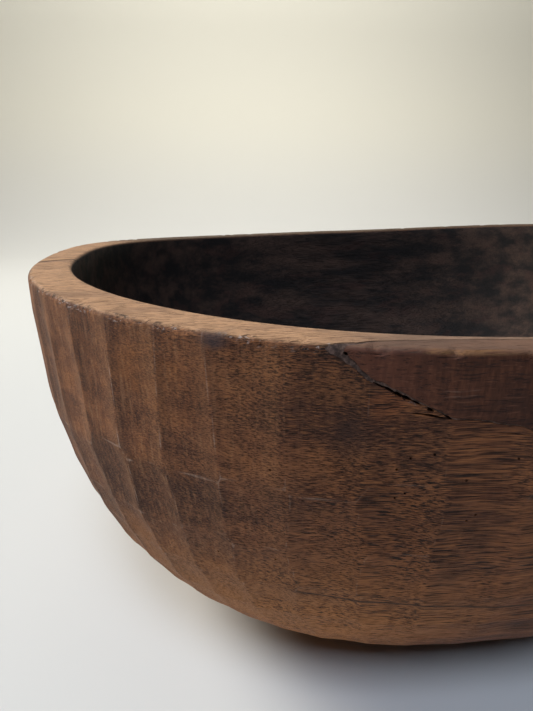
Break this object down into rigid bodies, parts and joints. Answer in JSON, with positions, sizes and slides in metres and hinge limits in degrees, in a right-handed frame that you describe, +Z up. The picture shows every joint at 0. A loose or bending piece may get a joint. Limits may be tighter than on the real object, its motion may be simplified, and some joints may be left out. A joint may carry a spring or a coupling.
{
  "type": "wooden bowl",
  "caption": "Deep oval hand-hewn wooden bowl with adze flats on its outside, a bent rim and a darker repair piece let into one side of the rim.",
  "frame": {"origin": "under the middle of the bowl, on the plane that its foot stands on", "axes": "+X along the grain and the length of the bowl, +Y across it away from the repaired side, +Z up out of its mouth"},
  "size_m": [0.454, 0.3988, 0.2166],
  "materials": {
    "bowl_wood": "oiled, open pores, worn ridges",
    "patch_wood": "oiled, darker and redder than the bowl",
    "filler": "dull glue and wood dust"
  },
  "bodies": {
    "root": {"bowl_body": "bowl_wood", "rim_patch": "patch_wood", "seam_filler": "filler"}
  },
  "joints": []
}
